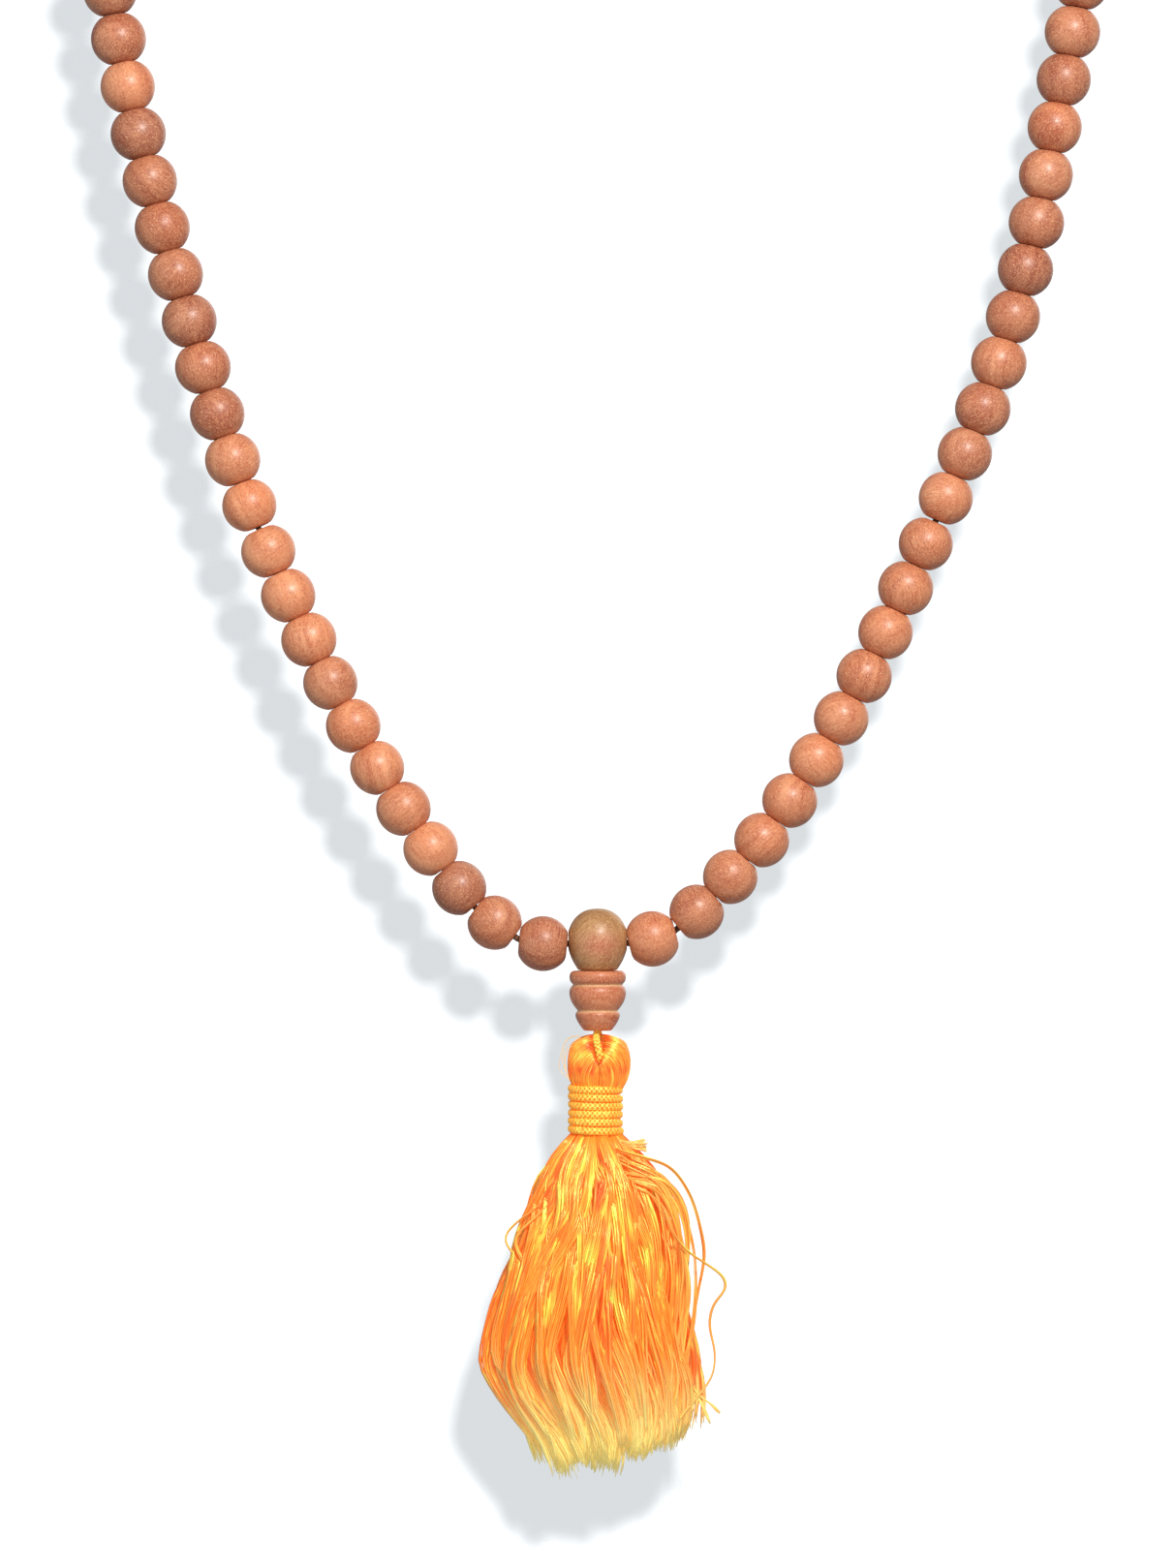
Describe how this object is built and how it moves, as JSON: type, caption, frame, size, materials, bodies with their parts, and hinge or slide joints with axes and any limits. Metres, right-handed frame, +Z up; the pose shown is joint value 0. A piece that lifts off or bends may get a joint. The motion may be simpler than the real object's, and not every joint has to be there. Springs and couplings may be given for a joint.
{
  "type": "prayer beads",
  "caption": "mala: a loop of round turned wooden beads on a string, closed by a larger guru bead, a stepped tower bead and a bound silk tassel on a braided cord",
  "frame": {"origin": "the string midway between the two topmost beads, where a neck, hand or peg carries the loop", "axes": "+Z up along the hanging loop, +X to the right of the loop seen from its front, +Y to the back, across the loop"},
  "size_m": [0.1602, 0.0234, 0.3979],
  "materials": {
    "wood_dark": "waxed dark red-brown hardwood, fine pores, satin",
    "wood_red": "waxed red-brown hardwood, fine pores, satin",
    "wood_middle": "waxed terracotta hardwood, fine pores, satin",
    "wood_orange": "waxed orange-brown hardwood, fine pores, satin",
    "wood_light": "waxed light tan-orange hardwood, fine pores, satin",
    "wood_upper": "waxed mixed red-brown hardwood, satin",
    "wood_arch": "waxed mixed red-brown hardwood, satin",
    "wood_guru": "waxed olive-brown hardwood, satin",
    "wood_tower": "turned terracotta hardwood, matt in its grooves",
    "string": "twisted dark cotton string",
    "cord": "braided glossy orange cord",
    "silk_head": "combed shiny orange silk",
    "binding": "braided glossy orange cord, wound",
    "silk_skirt": "loose shiny orange silk threads"
  },
  "bodies": {
    "arch": {"arch_beads": "wood_arch"},
    "upper_strands": {"upper_beads_left": "wood_upper", "upper_beads_right": "wood_upper"},
    "middle_strands": {"string_left": "string", "string_right": "string"},
    "lower_loop": {"string_lower": "string"},
    "guru": {"guru_bead": "wood_guru"},
    "tower": {"tower_bead": "wood_tower"},
    "hanger": {"hanger_cord": "cord"},
    "tassel": {"tassel_loop": "cord", "tassel_head": "silk_head", "tassel_binding": "binding"},
    "skirt": {"tassel_skirt": "silk_skirt"},
    "bead_left_01": {"bead_left_01": "wood_red"},
    "bead_left_02": {"bead_left_02": "wood_middle"},
    "bead_left_03": {"bead_left_03": "wood_dark"},
    "bead_left_04": {"bead_left_04": "wood_light"},
    "bead_left_05": {"bead_left_05": "wood_orange"},
    "bead_left_06": {"bead_left_06": "wood_light"},
    "bead_left_07": {"bead_left_07": "wood_light"},
    "bead_left_08": {"bead_left_08": "wood_middle"},
    "bead_left_09": {"bead_left_09": "wood_light"},
    "bead_left_10": {"bead_left_10": "wood_light"},
    "bead_left_11": {"bead_left_11": "wood_light"},
    "bead_left_12": {"bead_left_12": "wood_light"},
    "bead_left_13": {"bead_left_13": "wood_orange"},
    "bead_left_14": {"bead_left_14": "wood_red"},
    "bead_left_15": {"bead_left_15": "wood_middle"},
    "bead_left_16": {"bead_left_16": "wood_dark"},
    "bead_left_17": {"bead_left_17": "wood_red"},
    "bead_left_18": {"bead_left_18": "wood_red"},
    "bead_left_19": {"bead_left_19": "wood_red"},
    "bead_left_20": {"bead_left_20": "wood_dark"},
    "bead_left_21": {"bead_left_21": "wood_orange"},
    "bead_left_22": {"bead_left_22": "wood_red"},
    "bead_left_23": {"bead_left_23": "wood_dark"},
    "bead_right_01": {"bead_right_01": "wood_orange"},
    "bead_right_02": {"bead_right_02": "wood_red"},
    "bead_right_03": {"bead_right_03": "wood_middle"},
    "bead_right_04": {"bead_right_04": "wood_orange"},
    "bead_right_05": {"bead_right_05": "wood_orange"},
    "bead_right_06": {"bead_right_06": "wood_light"},
    "bead_right_07": {"bead_right_07": "wood_orange"},
    "bead_right_08": {"bead_right_08": "wood_middle"},
    "bead_right_09": {"bead_right_09": "wood_orange"},
    "bead_right_10": {"bead_right_10": "wood_middle"},
    "bead_right_11": {"bead_right_11": "wood_middle"},
    "bead_right_12": {"bead_right_12": "wood_orange"},
    "bead_right_13": {"bead_right_13": "wood_red"},
    "bead_right_14": {"bead_right_14": "wood_red"},
    "bead_right_15": {"bead_right_15": "wood_middle"},
    "bead_right_16": {"bead_right_16": "wood_red"},
    "bead_right_17": {"bead_right_17": "wood_dark"},
    "bead_right_18": {"bead_right_18": "wood_red"},
    "bead_right_19": {"bead_right_19": "wood_red"},
    "bead_right_20": {"bead_right_20": "wood_middle"},
    "bead_right_21": {"bead_right_21": "wood_dark"},
    "bead_right_22": {"bead_right_22": "wood_red"},
    "bead_right_23": {"bead_right_23": "wood_dark"}
  },
  "joints": [
    {"name": "fold_upper", "type": "hinge", "parent": "arch", "child": "upper_strands", "pos_m": [0, 0, -0.07659], "axis": [1, 0, 0.0035], "range_deg": [-12, 12]},
    {"name": "fold_middle", "type": "hinge", "parent": "upper_strands", "child": "middle_strands", "pos_m": [-0.00027, 0, -0.17525], "axis": [1, 0, 0.0071], "range_deg": [-12, 12]},
    {"name": "fold_lower", "type": "hinge", "parent": "middle_strands", "child": "lower_loop", "pos_m": [-0.00006, 0, -0.25692], "axis": [0.9999, 0, 0.0108], "range_deg": [-12, 12]},
    {"name": "guru_swing", "type": "hinge", "parent": "lower_loop", "child": "guru", "pos_m": [0, 0, -0.3173], "axis": [1, 0, 0], "range_deg": [-75, 75]},
    {"name": "tassel_swing", "type": "hinge", "parent": "hanger", "child": "tassel", "pos_m": [0, 0, -0.3303], "axis": [0, 1, 0], "range_deg": [-18, 18]},
    {"name": "skirt_sway", "type": "hinge", "parent": "tassel", "child": "skirt", "pos_m": [0, 0, -0.34575], "axis": [1, 0, 0], "range_deg": [-15, 15]},
    {"name": "tassel_twist", "type": "hinge", "parent": "guru", "child": "hanger", "pos_m": [0, 0, -0.3303], "axis": [0, 0, 1], "range_deg": [-180, 180]},
    {"name": "tower_spin", "type": "hinge", "parent": "guru", "child": "tower", "pos_m": [0, 0, -0.33015], "axis": [0, 0, 1], "continuous": true},
    {"name": "spin_left_01", "type": "hinge", "parent": "lower_loop", "child": "bead_left_01", "pos_m": [-0.00794, 0, -0.31781], "axis": [-0.9952, 0, 0.0978], "continuous": true},
    {"name": "spin_left_02", "type": "hinge", "parent": "lower_loop", "child": "bead_left_02", "pos_m": [-0.01496, 0, -0.31477], "axis": [-0.811, 0, 0.5851], "continuous": true},
    {"name": "spin_left_03", "type": "hinge", "parent": "lower_loop", "child": "bead_left_03", "pos_m": [-0.02013, 0, -0.30972], "axis": [-0.6455, 0, 0.7637], "continuous": true},
    {"name": "spin_left_04", "type": "hinge", "parent": "lower_loop", "child": "bead_left_04", "pos_m": [-0.02427, 0, -0.30401], "axis": [-0.5665, 0, 0.824], "continuous": true},
    {"name": "spin_left_05", "type": "hinge", "parent": "lower_loop", "child": "bead_left_05", "pos_m": [-0.02824, 0, -0.29819], "axis": [-0.5553, 0, 0.8317], "continuous": true},
    {"name": "spin_left_06", "type": "hinge", "parent": "lower_loop", "child": "bead_left_06", "pos_m": [-0.03205, 0, -0.29226], "axis": [-0.5185, 0, 0.8551], "continuous": true},
    {"name": "spin_left_07", "type": "hinge", "parent": "lower_loop", "child": "bead_left_07", "pos_m": [-0.03555, 0, -0.28614], "axis": [-0.4801, 0, 0.8772], "continuous": true},
    {"name": "spin_left_08", "type": "hinge", "parent": "lower_loop", "child": "bead_left_08", "pos_m": [-0.03885, 0, -0.27991], "axis": [-0.4574, 0, 0.8892], "continuous": true},
    {"name": "spin_left_09", "type": "hinge", "parent": "lower_loop", "child": "bead_left_09", "pos_m": [-0.04199, 0, -0.2736], "axis": [-0.4334, 0, 0.9012], "continuous": true},
    {"name": "spin_left_10", "type": "hinge", "parent": "lower_loop", "child": "bead_left_10", "pos_m": [-0.04498, 0, -0.26721], "axis": [-0.4169, 0, 0.909], "continuous": true},
    {"name": "spin_left_11", "type": "hinge", "parent": "lower_loop", "child": "bead_left_11", "pos_m": [-0.04787, 0, -0.26078], "axis": [-0.3993, 0, 0.9168], "continuous": true},
    {"name": "spin_left_12", "type": "hinge", "parent": "middle_strands", "child": "bead_left_12", "pos_m": [-0.05064, 0, -0.25409], "axis": [-0.3623, 0, 0.932], "continuous": true},
    {"name": "spin_left_13", "type": "hinge", "parent": "middle_strands", "child": "bead_left_13", "pos_m": [-0.05306, 0, -0.24746], "axis": [-0.3285, 0, 0.9445], "continuous": true},
    {"name": "spin_left_14", "type": "hinge", "parent": "middle_strands", "child": "bead_left_14", "pos_m": [-0.0553, 0, -0.24078], "axis": [-0.3065, 0, 0.9519], "continuous": true},
    {"name": "spin_left_15", "type": "hinge", "parent": "middle_strands", "child": "bead_left_15", "pos_m": [-0.05737, 0, -0.23404], "axis": [-0.2851, 0, 0.9585], "continuous": true},
    {"name": "spin_left_16", "type": "hinge", "parent": "middle_strands", "child": "bead_left_16", "pos_m": [-0.05937, 0, -0.22728], "axis": [-0.2834, 0, 0.959], "continuous": true},
    {"name": "spin_left_17", "type": "hinge", "parent": "middle_strands", "child": "bead_left_17", "pos_m": [-0.06136, 0, -0.22052], "axis": [-0.2803, 0, 0.9599], "continuous": true},
    {"name": "spin_left_18", "type": "hinge", "parent": "middle_strands", "child": "bead_left_18", "pos_m": [-0.06329, 0, -0.21374], "axis": [-0.2644, 0, 0.9644], "continuous": true},
    {"name": "spin_left_19", "type": "hinge", "parent": "middle_strands", "child": "bead_left_19", "pos_m": [-0.0651, 0, -0.20692], "axis": [-0.2488, 0, 0.9686], "continuous": true},
    {"name": "spin_left_20", "type": "hinge", "parent": "middle_strands", "child": "bead_left_20", "pos_m": [-0.06678, 0, -0.20008], "axis": [-0.228, 0, 0.9737], "continuous": true},
    {"name": "spin_left_21", "type": "hinge", "parent": "middle_strands", "child": "bead_left_21", "pos_m": [-0.06832, 0, -0.1932], "axis": [-0.205, 0, 0.9788], "continuous": true},
    {"name": "spin_left_22", "type": "hinge", "parent": "middle_strands", "child": "bead_left_22", "pos_m": [-0.06966, 0, -0.18627], "axis": [-0.1797, 0, 0.9837], "continuous": true},
    {"name": "spin_left_23", "type": "hinge", "parent": "middle_strands", "child": "bead_left_23", "pos_m": [-0.07088, 0, -0.17933], "axis": [-0.1651, 0, 0.9863], "continuous": true},
    {"name": "spin_right_01", "type": "hinge", "parent": "lower_loop", "child": "bead_right_01", "pos_m": [0.00795, 0, -0.31712], "axis": [0.9653, 0, 0.2612], "continuous": true},
    {"name": "spin_right_02", "type": "hinge", "parent": "lower_loop", "child": "bead_right_02", "pos_m": [0.01439, 0, -0.3132], "axis": [0.7636, 0, 0.6457], "continuous": true},
    {"name": "spin_right_03", "type": "hinge", "parent": "lower_loop", "child": "bead_right_03", "pos_m": [0.01926, 0, -0.30812], "axis": [0.6756, 0, 0.7372], "continuous": true},
    {"name": "spin_right_04", "type": "hinge", "parent": "lower_loop", "child": "bead_right_04", "pos_m": [0.02383, 0, -0.30275], "axis": [0.6009, 0, 0.7993], "continuous": true},
    {"name": "spin_right_05", "type": "hinge", "parent": "lower_loop", "child": "bead_right_05", "pos_m": [0.02791, 0, -0.29701], "axis": [0.5659, 0, 0.8244], "continuous": true},
    {"name": "spin_right_06", "type": "hinge", "parent": "lower_loop", "child": "bead_right_06", "pos_m": [0.0318, 0, -0.29112], "axis": [0.5314, 0, 0.8471], "continuous": true},
    {"name": "spin_right_07", "type": "hinge", "parent": "lower_loop", "child": "bead_right_07", "pos_m": [0.0354, 0, -0.28506], "axis": [0.4926, 0, 0.8703], "continuous": true},
    {"name": "spin_right_08", "type": "hinge", "parent": "lower_loop", "child": "bead_right_08", "pos_m": [0.03876, 0, -0.27886], "axis": [0.4598, 0, 0.888], "continuous": true},
    {"name": "spin_right_09", "type": "hinge", "parent": "lower_loop", "child": "bead_right_09", "pos_m": [0.04186, 0, -0.27253], "axis": [0.4227, 0, 0.9063], "continuous": true},
    {"name": "spin_right_10", "type": "hinge", "parent": "lower_loop", "child": "bead_right_10", "pos_m": [0.04478, 0, -0.26612], "axis": [0.4136, 0, 0.9104], "continuous": true},
    {"name": "spin_right_11", "type": "hinge", "parent": "lower_loop", "child": "bead_right_11", "pos_m": [0.04769, 0, -0.2597], "axis": [0.4079, 0, 0.913], "continuous": true},
    {"name": "spin_right_12", "type": "hinge", "parent": "middle_strands", "child": "bead_right_12", "pos_m": [0.0506, 0, -0.25306], "axis": [0.3969, 0, 0.9179], "continuous": true},
    {"name": "spin_right_13", "type": "hinge", "parent": "middle_strands", "child": "bead_right_13", "pos_m": [0.05339, 0, -0.24658], "axis": [0.3886, 0, 0.9214], "continuous": true},
    {"name": "spin_right_14", "type": "hinge", "parent": "middle_strands", "child": "bead_right_14", "pos_m": [0.05601, 0, -0.24004], "axis": [0.3499, 0, 0.9368], "continuous": true},
    {"name": "spin_right_15", "type": "hinge", "parent": "middle_strands", "child": "bead_right_15", "pos_m": [0.05833, 0, -0.23338], "axis": [0.3098, 0, 0.9508], "continuous": true},
    {"name": "spin_right_16", "type": "hinge", "parent": "middle_strands", "child": "bead_right_16", "pos_m": [0.06039, 0, -0.22664], "axis": [0.2755, 0, 0.9613], "continuous": true},
    {"name": "spin_right_17", "type": "hinge", "parent": "middle_strands", "child": "bead_right_17", "pos_m": [0.06221, 0, -0.21983], "axis": [0.2412, 0, 0.9705], "continuous": true},
    {"name": "spin_right_18", "type": "hinge", "parent": "middle_strands", "child": "bead_right_18", "pos_m": [0.06381, 0, -0.21296], "axis": [0.2125, 0, 0.9772], "continuous": true},
    {"name": "spin_right_19", "type": "hinge", "parent": "middle_strands", "child": "bead_right_19", "pos_m": [0.06518, 0, -0.20605], "axis": [0.1823, 0, 0.9833], "continuous": true},
    {"name": "spin_right_20", "type": "hinge", "parent": "middle_strands", "child": "bead_right_20", "pos_m": [0.06645, 0, -0.19911], "axis": [0.1844, 0, 0.9828], "continuous": true},
    {"name": "spin_right_21", "type": "hinge", "parent": "middle_strands", "child": "bead_right_21", "pos_m": [0.06777, 0, -0.19219], "axis": [0.1842, 0, 0.9829], "continuous": true},
    {"name": "spin_right_22", "type": "hinge", "parent": "middle_strands", "child": "bead_right_22", "pos_m": [0.06903, 0, -0.18525], "axis": [0.1787, 0, 0.9839], "continuous": true},
    {"name": "spin_right_23", "type": "hinge", "parent": "middle_strands", "child": "bead_right_23", "pos_m": [0.07031, 0, -0.17832], "axis": [0.1759, 0, 0.9844], "continuous": true}
  ]
}
